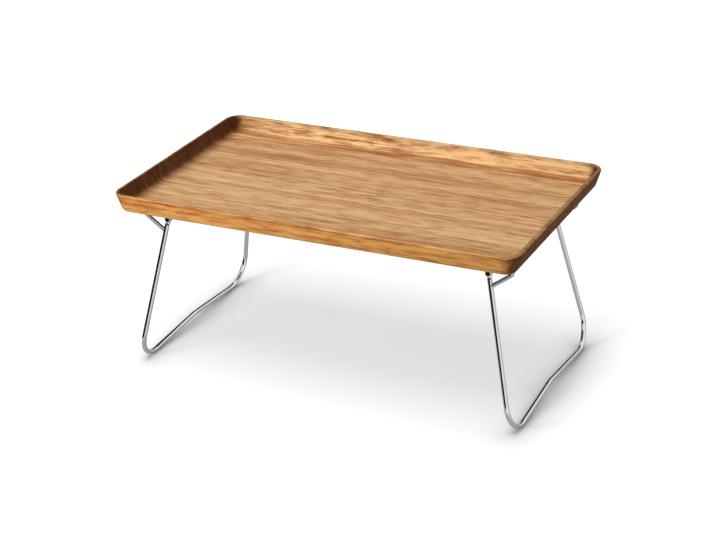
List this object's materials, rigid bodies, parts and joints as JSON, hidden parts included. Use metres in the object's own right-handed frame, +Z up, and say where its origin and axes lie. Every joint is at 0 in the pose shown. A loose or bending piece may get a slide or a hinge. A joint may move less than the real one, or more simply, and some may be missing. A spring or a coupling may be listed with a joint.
{
  "type": "bed tray table",
  "caption": "Rectangular wooden bed tray with a shallow raised rim, standing on two splayed bent-wire legs that fold flat under it.",
  "frame": {"origin": "on the surface that the feet stand on, under the middle of the tray, legs open", "axes": "+X along the tray to its right-hand end, +Y from front to back, +Z up"},
  "size_m": [0.5984, 0.3484, 0.27],
  "materials": {
    "oak": "thin satin lacquer",
    "chromed_wire": "polished",
    "plated_sheet": "zinc plated",
    "plated_hardware": "zinc plated"
  },
  "bodies": {
    "tray": {"tray_stave_1": "oak", "tray_stave_2": "oak", "tray_stave_3": "oak", "tray_stave_4": "oak", "tray_stave_5": "oak", "tray_stave_6": "oak", "tray_stave_7": "oak", "tray_stave_8": "oak", "tray_stave_9": "oak", "hinge_bracket_left_front": "plated_sheet", "hinge_bracket_left_back": "plated_sheet", "hinge_bracket_right_front": "plated_sheet", "hinge_bracket_right_back": "plated_sheet", "pivot_rivet_left_front": "plated_hardware", "pivot_rivet_left_back": "plated_hardware", "pivot_rivet_right_front": "plated_hardware", "pivot_rivet_right_back": "plated_hardware", "stop_rod_left_front": "chromed_wire", "stop_rod_left_back": "chromed_wire", "stop_rod_right_front": "chromed_wire", "stop_rod_right_back": "chromed_wire", "bracket_screws": "plated_hardware", "stop_screws": "plated_hardware"},
    "leg_left": {"leg_frame_left": "chromed_wire"},
    "leg_right": {"leg_frame_right": "chromed_wire"}
  },
  "joints": [
    {"name": "left_leg_fold", "type": "hinge", "parent": "tray", "child": "leg_left", "pos_m": [-0.241, 0, 0.22], "axis": [0, -1, 0], "range_deg": [0, 106.4]},
    {"name": "right_leg_fold", "type": "hinge", "parent": "tray", "child": "leg_right", "pos_m": [0.241, 0, 0.22], "axis": [0, 1, 0], "range_deg": [0, 106.4]}
  ]
}
